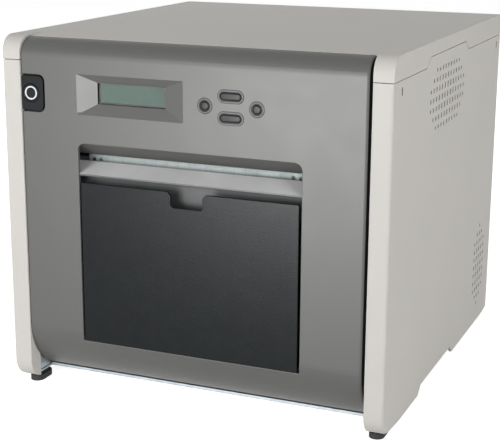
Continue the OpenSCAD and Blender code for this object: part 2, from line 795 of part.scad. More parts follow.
module main_board() color("seagreen") {
    y0 = drive_y + 76;
    y1 = rear_inner - 4;
    face = board_x + board_t;
    chip = 24;
    tall_r = 4.5;
    box([board_x, y0, board_z0], [face, y1, board_z1]);
    for (y = [y0 + 5, y1 - 5], z = [board_z0 + 5, board_z1 - 5]) rod_x(-frame_in, board_x + eps, y, z, 3);
    box([face - eps, y0 + 20, board_z1 - 41 - chip], [face + 5, y0 + 20 + chip, board_z1 - 41]);
    box([face - eps, y0 + 20, board_z1 - 31], [face + 9, y0 + 60, board_z1 - 21]);
    box([face - eps, y0 + 10, board_z0 + 14], [face + 12, y0 + 18, board_z0 + 44]);
    for (i = [0 : 2]) rod_x(face - eps, face + 16, y0 + 30 + i * 12, board_z0 + 22, tall_r);
}

module usb_socket() color("silver") difference() {
    x0 = board_x + board_t;
    box([x0, rear_inner - 14, usb_z - 6], [x0 + 11, rear_face, usb_z + 6]);
    difference() {
        box([x0 + 1.2, rear_face - 9, usb_z - 4.2], [x0 + 9.8, rear_face + far, usb_z + 4.2]);
        box([x0 + 3.9, rear_face - 9, usb_z - 2.8], [x0 + 7.1, rear_face - 1, usb_z + 2.8]);
    }
}

module mains_inlet() color("black") {
    w = inlet_w / 2;
    h = inlet_h / 2;
    difference() {
        union() {
            box([inlet_x - w - inlet_wall, rear_face - inlet_depth, inlet_z - h - inlet_wall],
                [inlet_x + w + inlet_wall, rear_face, inlet_z + h + inlet_wall]);
            box([inlet_x - w - 5, rear_face, inlet_z - h - 5], [inlet_x + w + 5, rear, inlet_z + h + 5]);
        }
        box([inlet_x - w, rear_face - inlet_depth + inlet_wall, inlet_z - h],
            [inlet_x + w, rear + far, inlet_z + h]);
    }
    for (p = [[-w * 0.58, -2], [w * 0.58, -2], [0, 3]])
        box([inlet_x + p[0] - pin_w / 2, rear_face - inlet_depth + 1, inlet_z + p[1] - pin_h / 2],
            [inlet_x + p[0] + pin_w / 2, rear - 4, inlet_z + p[1] + pin_h / 2]);
}

module fan_housing() color("dimgray") {
    h = fan_w / 2;
    difference() {
        box([fan_x - h, fan_front, fan_z - h], [fan_x + h, rear_inner, fan_z + h]);
        rod_y(fan_front - eps, rear_inner + eps, fan_x, fan_z, fan_hole);
    }
    rod_y(rear_inner - bar_w, rear_inner, fan_x, fan_z, hub_r);
    for (a = [45 : 90 : 315]) translate([fan_x, 0, fan_z]) rotate([0, a, 0])
        box([hub_r - 3, rear_inner - 3, -bar_w / 2], [fan_hole + 1, rear_inner, bar_w / 2]);
    rod_y(fan_front + 4, rear_inner - bar_w + eps, fan_x, fan_z, 1.5);
}

module fan_rotor() color("black") difference() {
    union() {
        rod_y(fan_front + 2, rear_inner - bar_w - 0.6, fan_x, fan_z, hub_r + 1);
        for (i = [0 : 6])
            translate([fan_x, blade_y, fan_z]) rotate([0, i * 360 / 7, 0]) rotate([40, 0, 0])
                box([hub_r - 1, -blade_l / 2, -0.8], [fan_hole - 1.6, blade_l / 2, 0.8]);
    }
    rod_y(fan_front + 3.8, rear_inner, fan_x, fan_z, 1.5 + run_gap);
}

// ---------- front door ----------

// Section of the door in Y and Z, drawn in by t and carried past its open back by more
module door_section(t, more) {
    roll_z = door_top - door_top_r;
    rect(door_front + t, foot_z, door_back + more, roll_z);
    intersection() {
        translate([door_back, roll_z]) circle(door_top_r - t, $fn = 96);
        rect(door_front, roll_z, door_back + more, door_top);
    }
    intersection() {
        translate([foot_y, foot_z]) circle(door_foot_r - t, $fn = 96);
        rect(door_front, low, door_end + more, foot_z);
    }
}

module power_cutout(grow) corner_rect(door_left - far, tab_z - tab_h / 2 - grow,
    door_left + tab_w + grow, tab_z + tab_h / 2 + grow, [0.1, 4 + grow, 4 + grow, 0.1]);

module front_door() color("gray") {
    // Curved skin between two closed ends
    difference() {
        along_x(door_left, door_right) door_section(0, 0);
        difference() {
            along_x(door_left + door_t, door_right - door_t) door_section(door_t, 5);
            door_backing();
        }
        along_y(door_front - eps, door_back + far) door_opening();
        along_y(door_front - eps, door_front + door_t + eps) power_cutout(tab_gap);
        power_side_cut();
        display_funnel();
        key_holes();
        hinge_bores();
    }
    outlet_throat();
    key_rims();
    hinge_bosses();
}

module door_opening() corner_rect(bay_l, bay_z0, bay_rt, bay_z1, [1, 1, bay_r, bay_r]);

// Thick places behind the display and the keys
module door_backing() {
    z0 = lcd_z - lcd_h / 2 - lcd_under - 2;
    z1 = lcd_z + lcd_h / 2 + lcd_over + 2;
    box([lcd_x - lcd_w / 2 - lcd_side - 2, door_front, z0],
        [lcd_x + lcd_w / 2 + lcd_side + 2, door_front + lcd_d + 1.5, min(z1, door_top - door_top_r)]);
}

module display_funnel() {
    w = lcd_w / 2;
    h = lcd_h / 2;
    z = lcd_z;
    slope_x = lcd_side / lcd_d;
    intersection() {
        along_z(z - h - lcd_under - 1, z + h + lcd_over + 1) polygon([
            [lcd_x - w - lcd_side - slope_x, door_front - 1], [lcd_x + w + lcd_side + slope_x, door_front - 1],
            [lcd_x + w, door_front + lcd_d], [lcd_x - w, door_front + lcd_d]
        ]);
        along_x(lcd_x - w - lcd_side - far, lcd_x + w + lcd_side + far) polygon([
            [door_front - 1, z - h - lcd_under - lcd_under / lcd_d],
            [door_front - 1, z + h + lcd_over + lcd_over / lcd_d],
            [door_front + lcd_d, z + h], [door_front + lcd_d, z - h]
        ]);
    }
    box([lcd_x - w, door_front + lcd_d - eps, z - h], [lcd_x + w, door_front + lcd_d + far, z + h]);
}

module round_key_at(s) translate([keys_x + s * round_out, 0, keys_z]) children();
module long_key_at(s) translate([keys_x, 0, keys_z + s * long_out]) children();

module key_holes() for (s = [-1, 1]) {
    round_key_at(s) rod_y(door_front - far, door_front + door_t + eps, 0, 0, round_r + key_gap);
    long_key_at(s) along_y(door_front - far, door_front + door_t + eps)
        stadium(long_l + 2 * key_gap, long_h + 2 * key_gap);
}

// Raised rims round the keys, narrower at their crest
module key_rims() difference() {
    for (s = [-1, 1]) {
        round_key_at(s) translate([0, door_front - rim_h, 0]) rotate([-90, 0, 0])
            cylinder(h = rim_h + eps, r1 = round_r + key_gap + rim_w - rim_h, r2 = round_r + key_gap + rim_w);
        long_key_at(s) for (d = [0, rim_h / 2])
            along_y(door_front - rim_h + d, door_front + eps)
                stadium(long_l + 2 * (key_gap + rim_w + d - rim_h), long_h + 2 * (key_gap + rim_w + d - rim_h));
    }
    key_holes();
}

module power_side_cut() {
    z = tab_z;
    box([door_left - far, door_front - eps, z - tab_h / 2 - tab_gap],
        [door_left + door_t + eps, door_inner + 5, z + tab_h / 2 + tab_gap]);
}

module hinge_bores() for (x = [door_left, door_right])
    rod_x(x - 8, x + 8, hinge_y, hinge_z, hinge_r + run_gap);

module hinge_bosses() difference() {
    for (x = [door_left + door_t - eps, door_right - door_t - 3 + eps])
        rod_x(x, x + 3, hinge_y, hinge_z, hinge_r + 3);
    hinge_bores();
}

// Sloped ceiling, sloped lip and side walls of the print outlet, wider than the opening
module outlet_throat() {
    x0 = bay_l - throat_out - throat_t;
    x1 = bay_rt + throat_out + throat_t;
    along_x(x0, x1) {
        polygon([
            [door_front + 0.8, bay_z1], [throat_back, ceiling_z],
            [throat_back, ceiling_z + throat_t * 1.2], [door_front + door_t - eps, bay_z1 + throat_t * 1.2]
        ]);
        polygon([
            [lip_front, lip_front_z], [throat_back, lip_z], [throat_back, lip_z - throat_t],
            [lip_front + 1, lip_front_z - throat_t], [lip_front, lip_front_z - throat_t + 0.8]
        ]);
    }
    for (x = [x0, x1 - throat_t]) along_x(x, x + throat_t)
        rect(door_front + door_t - eps, lip_front_z - throat_t, throat_back, bay_z1 + 2);
}

module door_magnets() color("dimgray") both_sides()
    box([panel_in - 13, door_inner, magnet_z - magnet_h / 2],
        [panel_in - 4.7, door_back + 3.5, magnet_z + magnet_h / 2]);

module power_tab() color("black") difference() {
    union() {
        difference() {
            along_y(door_front, door_inner + eps) power_cutout(0);
            box([door_left - 2 * far, door_front - far, low], [door_left, door_front + far, top]);
        }
        box([door_left + door_t + 0.1, door_inner, power_z - tab_h / 2 - tab_gap - 1.5],
            [door_left + tab_w + tab_gap + 1.5, tab_back, power_z + tab_h / 2 + tab_gap + 1.5]);
    }
    rod_y(door_front - eps, tab_back + eps, power_x, power_z, power_r + key_gap);
}

module power_key() color("dimgray") difference() {
    union() {
        rod_y(door_front - 0.3, tab_back + touch + eps, power_x, power_z, power_r);
        rod_y(tab_back + touch, tab_back + touch + 1.2, power_x, power_z, power_r + 1);
        rod_y(tab_back + touch + 1, power_back, power_x, power_z, 2);
    }
    difference() {
        rod_y(door_front - far, door_front + 0.2, power_x, power_z, 5.5);
        rod_y(door_front - far, door_front + 0.2, power_x, power_z, 4.2);
    }
}

module power_switch() color("seagreen") {
    y = power_back + power_travel + 0.1;
    box([power_x - 3, y, power_z - 3], [power_x + 3, y + 2 + eps, power_z + 3]);
    box([power_x - 5, y + 2, power_z - 14], [power_x + 11, y + 3.6, power_z + 14]);
    for (s = [-1, 1]) rod_y(tab_back, y + 2 + eps, power_x + 3, power_z + s * 11.5, 1.6);
}

module power_ring() color("white") difference() {
    rod_y(door_front - 0.4, door_front + 0.2, power_x, power_z, 5.5 - seat);
    rod_y(door_front - far, door_front + far, power_x, power_z, 4.2 + seat);
}

module display_window() color("darkseagreen") {
    z = lcd_z;
    y = door_front + lcd_d + 1.5;
    box([lcd_x - lcd_w / 2 - 3, y, z - lcd_h / 2 - 3], [lcd_x + lcd_w / 2 + 3, y + 1, z + lcd_h / 2 + 3]);
}

module display_module() color("seagreen") {
    z = lcd_z;
    y = door_front + lcd_d + 2.5;
    box([lcd_x - lcd_w / 2 - 4, y, z - lcd_h / 2 - 4], [lcd_x + lcd_w / 2 + 4, y + 3, z + lcd_h / 2 + 4]);
    box([lcd_x - lcd_w / 2 - 9, y + 3 - eps, z - 15], [lcd_x + lcd_w / 2 + 9, y + 4.6, z + 14]);
}

module key_board() color("seagreen") {
    y = switch_y + 2;
    box([keys_x - round_out - 9, y, keys_z - 15], [keys_x + round_out + 9, y + 1.6, keys_z + 15]);
    for (s = [-1, 1]) {
        round_key_at(s) box([-3, switch_y, -3], [3, y + eps, 3]);
        long_key_at(s) box([-3, switch_y, -3], [3, y + eps, 3]);
        for (x = [-1, 1]) rod_y(door_inner, y + eps,
            keys_x + x * (round_out + 6.5), keys_z + s * 12, 1.8);
    }
}

module round_key() {
    rod_y(door_front - key_proud + 0.5, key_back + eps, 0, 0, round_r);
    translate([0, door_front - key_proud, 0]) rotate([-90, 0, 0])
        cylinder(h = 0.5 + eps, r1 = round_r - 0.6, r2 = round_r);
    rod_y(key_back, key_back + 1.2, 0, 0, round_r + 1);
    rod_y(key_back + 1, key_end, 0, 0, 1.4);
}

module long_key() {
    along_y(door_front - key_proud + 0.4, key_back + eps) stadium(long_l, long_h);
    along_y(door_front - key_proud, door_front - key_proud + 0.4 + eps) stadium(long_l - 0.8, long_h - 0.8);
    along_y(key_back, key_back + 1.2) stadium(long_l + 2, long_h + 1.2);
    rod_y(key_back + 1, key_end, 0, 0, 1.4);
}

module key_left() color("dimgray") round_key_at(-1) round_key();
module key_right() color("dimgray") round_key_at(1) round_key();
module key_up() color("dimgray") long_key_at(1) long_key();
module key_down() color("dimgray") long_key_at(-1) long_key();

// ---------- scrap bin ----------

module scrap_bin() color("black") {
    l = bin_l + bin_side;
    r = bin_rt - bin_side;
    z1 = bin_box_z;
    notch_x = (bin_l + bin_rt) / 2;
    difference() {
        union() {
            along_y(bin_front, bin_front + bin_t) corner_rect(bin_l, bin_z0, bin_rt, bin_z1, [1, 1, 1.5, 1.5]);
            box([l, bin_front + bin_t - eps, bin_z0], [r, bin_back, z1]);
        }
        box([l + bin_t, bin_front + bin_t, bin_z0 + bin_t], [r - bin_t, bin_back - bin_t, z1 + far]);
        along_y(bin_front - eps, bin_front + bin_t + eps) translate([notch_x, bin_z1]) polygon([
            [-notch_w / 2 - 3, far], [-notch_w / 2 - 3, 0], [-notch_w / 2, -3], [-notch_w / 2, -notch_h + 2],
            [-notch_w / 2 + 2, -notch_h], [notch_w / 2 - 1, -notch_h], [notch_w / 2, -notch_h + 1],
            [notch_w / 2, -3], [notch_w / 2 + 3, 0], [notch_w / 2 + 3, far]
        ]);
    }
}

// ---------- print drive ----------

module head_arm() color("lightsteelblue") difference() {
    union() {
        box([-arm_w / 2, head_y0, arm_z], [arm_w / 2, arm_y + arm_end - 2, arm_z + steel]);
        both_sides() box([arm_w / 2 - steel, head_y0, arm_z], [arm_w / 2, arm_y + arm_end, arm_z + arm_h]);
    }
    rod_x(-arm_w, arm_w, arm_y, arm_pivot_z, pivot_r + run_gap);
    for (x = [-arm_pitch, 0, arm_pitch])
        box([x - arm_window / 2, head_y1 + 10, arm_z - far],
            [x + arm_window / 2, arm_y - arm_rib, arm_z + far]);
}

module thermal_head() color("silver") difference() {
    box([-roller_w / 2, head_y0, head_z], [roller_w / 2, head_y1, arm_z]);
    for (i = [0 : 4])
        box([-roller_w / 2 - 1, head_y0 - eps, head_z + 5 + i * 1.8],
            [roller_w / 2 + 1, head_y0 + fin_d, head_z + 5.9 + i * 1.8]);
    box([-roller_w / 2 - 1, platen_y + 4, head_z - 1], [roller_w / 2 + 1, head_y1 + 1, head_z + 4]);
}

module roller(y) {
    rod_x(-roller_w / 2, roller_w / 2, y, roller_z, roller_r);
    rod_x(-shaft_end, frame_out + 1, y, roller_z, shaft_r);
}

module drive_roller() color("silver") roller(drive_y);
module platen_roller() color("black") roller(platen_y);

module shaft_gear(teeth, y, z, bore, turn) difference() {
    gear_x_axis(teeth, -gear_x - gear_w, -gear_x, y, z, turn);
    rod_x(-gear_x - gear_w - far, -gear_x + far, y, z, bore);
}

module drive_gear() color("white") shaft_gear(gear_teeth, drive_y, roller_z, shaft_r + seat, 0);
module platen_gear() color("white") shaft_gear(gear_teeth, platen_y, roller_z, shaft_r + seat, 0);
module idler_gear() color("white")
    shaft_gear(idler_teeth, idler_y, roller_z, 3 + run_gap, 180 / idler_teeth);
module motor_pinion() color("goldenrod") {
    gear_x_axis(idler_teeth, -gear_x - gear_w, -gear_x, idler_y, pinion_z, 0);
    rod_x(-gear_x - eps, -frame_in + motor_l - 6, idler_y, pinion_z, 2.5);
}

module pinch_roller() color("silver") {
    rod_x(-roll_w / 2, roll_w / 2, drive_y, pinch_z, pinch_r);
    rod_x(-frame_out, frame_out, drive_y, pinch_z, 3);
}

// ---------- paper and ribbon ----------

module paper_spool() color("dimgray") {
    rod_x(-roll_w / 2 - 1.5, roll_w / 2 + 1.5, roll_y, roll_z, paper_core_r);
    both_sides() {
        rod_x(roll_w / 2 + touch, roll_w / 2 + 3, roll_y, roll_z, flange_r);
        rod_x(roll_w / 2, cradle_x + cradle_t + 1, roll_y, roll_z, spool_shaft_r);
    }
}

module paper_roll() color("white") difference() {
    rod_x(-roll_w / 2, roll_w / 2, roll_y, roll_z, roll_r);
    rod_x(-roll_w, roll_w, roll_y, roll_z, paper_core_r + 0.1);
}

module ribbon_spool(y, z, r) {
    rod_x(-roll_w / 2 - 4, roll_w / 2 + 4, y, z, core_r);
    both_sides() rod_x(roll_w / 2 + touch, roll_w / 2 + 2, y, z, r + spool_flange);
    rod_x(-frame_out, frame_out, y, z, pivot_r);
}

module ribbon_film(y, z, r) difference() {
    rod_x(-roll_w / 2, roll_w / 2, y, z, r);
    rod_x(-roll_w, roll_w, y, z, core_r + 0.1);
}

module ribbon_supply() color("white") ribbon_spool(supply_y, supply_z, supply_r);
module supply_film() color("indigo") ribbon_film(supply_y, supply_z, supply_r);
module ribbon_takeup() color("white") ribbon_spool(takeup_y, takeup_z, takeup_r);
module takeup_film() color("indigo") ribbon_film(takeup_y, takeup_z, takeup_r);

base_pan();
side_frame_left();
side_frame_right();
side_panel_left();
side_panel_right();
top_cover();
rear_cover();
feet();
cover_screws();
exit_beam();
exit_strip();
strip_screws();
cutter_bed();
cutter_rail();
paper_guide();
head_shaft();
roller_bushes();
spool_cradles();
bin_shelf();
door_hinge_pins();
strike_plates();
drive_motor();
idler_pin();
power_supply();
main_board();
usb_socket();
mains_inlet();
fan_housing();
front_door();
door_magnets();
power_tab();
power_switch();
display_window();
display_module();
key_board();
scrap_bin();
power_key();
power_ring();
key_left();
key_right();
key_up();
key_down();
head_arm();
thermal_head();
drive_roller();
drive_gear();
platen_roller();
platen_gear();
idler_gear();
motor_pinion();
pinch_roller();
paper_spool();
paper_roll();
ribbon_supply();
supply_film();
ribbon_takeup();
takeup_film();
cutter_carriage();
cutter_wheel();
fan_rotor();
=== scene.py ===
import json
import math
import bpy
import bmesh
from mathutils import Matrix, Vector


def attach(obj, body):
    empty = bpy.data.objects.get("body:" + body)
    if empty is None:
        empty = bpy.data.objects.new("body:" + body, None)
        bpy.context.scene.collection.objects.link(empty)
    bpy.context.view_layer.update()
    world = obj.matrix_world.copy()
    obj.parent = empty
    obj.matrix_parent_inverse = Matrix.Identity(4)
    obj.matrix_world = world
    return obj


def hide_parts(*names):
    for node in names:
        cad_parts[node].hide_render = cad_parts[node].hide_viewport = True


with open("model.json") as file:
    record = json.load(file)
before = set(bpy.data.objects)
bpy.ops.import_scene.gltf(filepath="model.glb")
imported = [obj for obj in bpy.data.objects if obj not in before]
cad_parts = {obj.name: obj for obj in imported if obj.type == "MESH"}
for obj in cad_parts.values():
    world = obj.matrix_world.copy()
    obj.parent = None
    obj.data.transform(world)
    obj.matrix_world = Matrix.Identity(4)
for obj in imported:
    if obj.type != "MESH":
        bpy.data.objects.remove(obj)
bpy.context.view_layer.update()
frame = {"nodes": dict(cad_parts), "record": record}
mm = 0.001
print("frame loaded:", len(frame["nodes"]), "nodes")


def toLinear(hexColour):
    parts = [int(hexColour[i:i + 2], 16) / 255 for i in (1, 3, 5)]
    return tuple(v / 12.92 if v <= 0.04045 else ((v + 0.055) / 1.055) ** 2.4 for v in parts) + (1.0,)


def addNode(material, kind, settings, links=()):
    node = material.node_tree.nodes.new(kind)
    for name, value in settings.items():
        if isinstance(name, int) or name in node.inputs:
            node.inputs[name].default_value = value
        else:
            setattr(node, name, value)
    for socket, source in dict(links).items():
        material.node_tree.links.new(source, node.inputs[socket])
    return node


def mainShader(material):
    return next(node for node in material.node_tree.nodes if node.type == "BSDF_PRINCIPLED")


noiseSpan = {"From Min": 0.3, "From Max": 0.7}  # a noise keeps mostly between these


def makeFinish(name, look):
    material = bpy.data.materials.new(name)
    material.use_nodes = True
    links = material.node_tree.links
    shader = mainShader(material)
    shader.inputs["Base Color"].default_value = toLinear(look["colour"])
    shader.inputs["Roughness"].default_value = look["roughness"]
    shader.inputs["Metallic"].default_value = look.get("metallic", 0.0)
    if "ior" in look:
        shader.inputs["IOR"].default_value = look["ior"]
    if "gloss" in look:
        # share of light that the surface mirrors: under the usual 0.5, as a coarse grain shades itself
        shader.inputs["Specular IOR Level"].default_value = look["gloss"]
    for socket, value in look.get("shader", {}).items():
        shader.inputs[socket].default_value = value
    place = addNode(material, "ShaderNodeTexCoord", {}).outputs["Object"]
    if "clouds" in look:
        # slow change of tone over the surface, from moulding flow or from handling
        size, second, share = look["clouds"]
        noise = addNode(material, "ShaderNodeTexNoise",
                        {"Scale": 1 / (size * mm), "Detail": 3.0, "Roughness": 0.55}, {"Vector": place})
        part = addNode(material, "ShaderNodeMapRange", {**noiseSpan, "To Min": 0.0, "To Max": share},
                       {"Value": noise.outputs[0]})
        mix = addNode(material, "ShaderNodeMix",
                      {"data_type": "RGBA", 6: toLinear(look["colour"]), 7: toLinear(second)},
                      {0: part.outputs[0]})
        links.new(mix.outputs[2], shader.inputs["Base Color"])
    if "sheenSpread" in look:
        # the gloss is a little uneven
        size, spread = look["sheenSpread"]
        noise = addNode(material, "ShaderNodeTexNoise", {"Scale": 1 / (size * mm), "Detail": 2.0},
                        {"Vector": place})
        ends = {"To Min": look["roughness"] - spread, "To Max": look["roughness"] + spread}
        rough = addNode(material, "ShaderNodeMapRange", {**noiseSpan, **ends}, {"Value": noise.outputs[0]})
        links.new(rough.outputs[0], shader.inputs["Roughness"])
    if "marks" in look:
        # thin marks across the piece, at an even pitch along X
        pitch, wide, second, share = look["marks"]
        split = addNode(material, "ShaderNodeSeparateXYZ", {}, {0: place})
        steps = addNode(material, "ShaderNodeMath", {"operation": "WRAP", 1: pitch * mm, 2: 0.0},
                        {0: split.outputs[0]})
        fade = addNode(material, "ShaderNodeMapRange",
                       {"From Min": 0.0, "From Max": wide * mm, "To Min": share, "To Max": 0.0},
                       {"Value": steps.outputs[0]})
        plain = shader.inputs["Base Color"].links[0].from_socket
        marked = addNode(material, "ShaderNodeMix", {"data_type": "RGBA", 7: toLinear(second)},
                         {0: fade.outputs[0], 6: plain})
        links.new(marked.outputs[2], shader.inputs["Base Color"])
    if "grain" in look:
        # fine relief: size and height in millimetres, and the way it is stretched
        size, height, stretch = look["grain"]
        turned = addNode(material, "ShaderNodeMapping", {"Scale": stretch}, {"Vector": place})
        noise = addNode(material, "ShaderNodeTexNoise",
                        {"Scale": 1 / (size * mm), "Detail": 2.0, "Roughness": 0.6},
                        {"Vector": turned.outputs[0]})
        bump = addNode(material, "ShaderNodeBump", {"Strength": 1.0, "Distance": height * mm},
                       {"Height": noise.outputs[0]})
        links.new(bump.outputs[0], shader.inputs["Normal"])
    return material


even = (1.0, 1.0, 1.0)
alongX = (0.02, 1.0, 1.0)
waxy = {"Subsurface Radius": (0.001, 0.001, 0.001)}
finish = {}
# ABS moulded in a lightly spark-eroded tool: warm light grey, soft highlight, an eggshell grain that
# is drawn at 0.7 mm, about twice its real size, so that it shows
finish["light_shell"] = makeFinish("eggshellAbs", {
    "colour": "#D5D2CD", "roughness": 0.62, "ior": 1.53, "gloss": 0.15,
    "clouds": (90, "#D2CFC9", 0.6), "sheenSpread": (40, 0.015), "grain": (0.7, 0.02, even)})
# ABS of the same grain in mid grey: a satin sheen that spreads wide and shows the fine grain
finish["door_grey"] = makeFinish("satinGreyAbs", {
    "colour": "#5F5F5D", "roughness": 0.46, "ior": 1.53, "gloss": 0.34,
    "clouds": (60, "#5C5C5A", 0.6), "sheenSpread": (25, 0.012), "grain": (0.7, 0.03, even)})
# painted shade: the shell's plastic inside a vent slot, painted darker for the shade that falls in the
# slots
finish["slot_grey"] = makeFinish("shadedAbs", {
    "colour": "#938F88", "roughness": 0.7, "ior": 1.53,
    "clouds": (6, "#9C9891", 0.6), "grain": (0.7, 0.02, even)})
# painted light: the same plastic on the upper side of the outlet's lip, painted much lighter where it faces
# up to the light, and smoother
finish["lip_grey"] = makeFinish("burnishedAbs", {
    "colour": "#D4D4D5", "roughness": 0.3, "ior": 1.5,
    "clouds": (50, "#BEBEBF", 0.8), "grain": (0.7, 0.01, even)})
# painted shade: steel of the beam behind the outlet, painted a flat dark grey for the shade it sits in, a
# little cloudy
finish["beam_grey"] = makeFinish("phosphatedSteel", {
    "colour": "#56595A", "roughness": 0.6, "ior": 1.5,
    "clouds": (25, "#4A4D4E", 0.8), "grain": (0.8, 0.01, even)})
# black ABS with a plain moulded surface: dark, with a faint soft highlight
finish["black_plastic"] = makeFinish("blackAbs", {
    "colour": "#090D10", "roughness": 0.42, "ior": 1.53, "gloss": 0.14,
    "clouds": (20, "#0F1316", 0.7), "sheenSpread": (15, 0.02), "grain": (0.6, 0.01, even)})
# black ABS from a coarse spark-eroded tool: near black, with a sheen broken up by the grain
finish["bin_black"] = makeFinish("grainedBlackAbs", {
    "colour": "#0A1012", "roughness": 0.31, "ior": 1.53, "gloss": 0.14,
    "clouds": (30, "#0E1417", 0.7), "sheenSpread": (10, 0.015), "grain": (1.0, 0.12, even)})
# dark grey ABS keycaps: smoother than the door, so their domes catch a small highlight
finish["key_grey"] = makeFinish("keycapAbs", {
    "colour": "#1D1E1E", "roughness": 0.4, "ior": 1.53, "gloss": 0.16,
    "clouds": (4, "#232424", 0.6), "grain": (0.5, 0.008, even)})
# milky white acrylic ring: bright, glossy and slightly see-through under its surface
finish["ring_white"] = makeFinish("milkAcrylic", {
    "colour": "#EDF0F2", "roughness": 0.15, "ior": 1.49,
    "clouds": (3, "#E4E8EB", 0.5), "shader": {"Subsurface Weight": 0.3, **waxy}})
# moulded rubber foot: deep matt black with a dusty grain
finish["foot_rubber"] = makeFinish("footRubber", {
    "colour": "#0F1011", "roughness": 0.72, "ior": 1.45,
    "clouds": (8, "#18191A", 0.8), "grain": (0.5, 0.03, even)})
# hot-dip galvanised sheet: blue-grey spangle, semi-matt
finish["sheet_steel"] = makeFinish("galvanisedSheet", {
    "colour": "#A2A7AA", "roughness": 0.5, "metallic": 1.0,
    "clouds": (7, "#8E9498", 1.0), "sheenSpread": (5, 0.1), "grain": (3.0, 0.01, even)})
# zinc plated strip with a white passivated film: pale and chalky, drawn along X, with thin marks
# every 9.6 mm
finish["strip_steel"] = makeFinish("whiteZinc", {
    "colour": "#98A1A0", "roughness": 0.6, "metallic": 0.15,
    "clouds": (14, "#8D9796", 1.0), "marks": (9.6, 1.1, "#768082", 0.6), "sheenSpread": (6, 0.06),
    "grain": (0.5, 0.01, alongX)})
# ground steel bar: bright, with fine marks along it
finish["bright_steel"] = makeFinish("groundSteel", {
    "colour": "#BCBFC1", "roughness": 0.28, "metallic": 1.0,
    "clouds": (12, "#A9ADB0", 0.8), "sheenSpread": (6, 0.06), "grain": (0.5, 0.008, alongX)})
# black oxide on steel: dark, faintly oily sheen
finish["dark_steel"] = makeFinish("blackOxide", {
    "colour": "#2B2D30", "roughness": 0.42, "metallic": 0.6,
    "clouds": (10, "#35373A", 0.8), "grain": (0.6, 0.01, even)})
# baked enamel on the motor's can: dark, even, a little orange peel
finish["motor_case"] = makeFinish("bakedEnamel", {
    "colour": "#34373B", "roughness": 0.3, "ior": 1.5,
    "clouds": (15, "#3A3D41", 0.6), "grain": (1.2, 0.02, even)})
# drawn brass: warm yellow, with fine marks along it
finish["bush_brass"] = makeFinish("turnedBrass", {
    "colour": "#C7A052", "roughness": 0.27, "metallic": 1.0,
    "clouds": (6, "#B08B42", 0.8), "grain": (0.4, 0.008, alongX)})
# nylon holder of the magnets: black, dull
finish["magnet_black"] = makeFinish("blackNylon", {
    "colour": "#212225", "roughness": 0.55, "ior": 1.53,
    "clouds": (6, "#2A2B2E", 0.7), "grain": (0.5, 0.015, even)})
# acetal gears and spools: creamy white, waxy
finish["gear_white"] = makeFinish("acetal", {
    "colour": "#E3E1D8", "roughness": 0.35, "ior": 1.48,
    "clouds": (10, "#DAD7CC", 0.7), "grain": (0.6, 0.008, even),
    "shader": {"Subsurface Weight": 0.15, **waxy}})
# ground rubber sleeve of the platen: dark, dull, with faint marks along it
finish["roller_rubber"] = makeFinish("groundRubber", {
    "colour": "#1B1C1E", "roughness": 0.65, "ior": 1.52,
    "clouds": (12, "#242527", 0.8), "grain": (0.5, 0.02, alongX)})
# extruded aluminium of the head's heat sink: pale, satin, drawn along X
finish["head_aluminium"] = makeFinish("extrudedAluminium", {
    "colour": "#BDC1C4", "roughness": 0.36, "metallic": 1.0,
    "clouds": (14, "#A8ADB1", 0.8), "grain": (0.6, 0.012, alongX)})
# moulded nylon of the paper spool: mid grey, dull
finish["spool_grey"] = makeFinish("greyNylon", {
    "colour": "#55585C", "roughness": 0.45, "ior": 1.53,
    "clouds": (25, "#4C4F53", 0.7), "grain": (0.8, 0.015, even)})
# dyed polyester ribbon wound tight: dark, glossy, with faint streaks along it
finish["ribbon_film"] = makeFinish("dyeRibbon", {
    "colour": "#2E2238", "roughness": 0.18, "ior": 1.6,
    "clouds": (9, "#4A3320", 0.9), "grain": (0.4, 0.01, alongX)})
# unlit liquid crystal panel: flat grey green with a faint cell pattern under the window
finish["display_panel"] = makeFinish("liquidCrystal", {
    "colour": "#406D5F", "roughness": 0.6, "ior": 1.5, "gloss": 0.1,
    "clouds": (20, "#487567", 0.5), "grain": (1.5, 0.004, even)})


roll = {"y": -20.0, "z": 84.0, "layers": 0.8, "relief": 0.15}


def paperFinish():
    # coated photo paper wound on a core: white, with fine rings of edges on the roll's ends, drawn
    # 0.8 mm apart, coarser than the paper, so that they show
    material = makeFinish("coatedPaper", {"colour": "#F1F0EB", "roughness": 0.5, "ior": 1.48,
                                          "clouds": (30, "#EAE8E1", 0.6)})
    place = addNode(material, "ShaderNodeTexCoord", {})
    centred = addNode(material, "ShaderNodeMapping", {"Location": (0, -roll["y"] * mm, -roll["z"] * mm)},
                      {"Vector": place.outputs["Object"]})
    split = addNode(material, "ShaderNodeSeparateXYZ", {}, {0: centred.outputs[0]})
    flat = addNode(material, "ShaderNodeCombineXYZ", {"X": 0.0},
                   {"Y": split.outputs[1], "Z": split.outputs[2]})
    radius = addNode(material, "ShaderNodeVectorMath", {"operation": "LENGTH"}, {0: flat.outputs[0]})
    rings = addNode(material, "ShaderNodeTexNoise",
                    {"noise_dimensions": "1D", "Scale": 1 / (roll["layers"] * mm), "Detail": 1.0},
                    {"W": radius.outputs["Value"]})
    bump = addNode(material, "ShaderNodeBump", {"Distance": roll["relief"] * mm},
                   {"Height": rings.outputs[0]})
    material.node_tree.links.new(bump.outputs[0], mainShader(material).inputs["Normal"])
    return material


board = {"mask": "#1F5C39", "track": "#3C8455", "cell": 5.0, "pitch": 0.12, "trackFrom": 0.085}


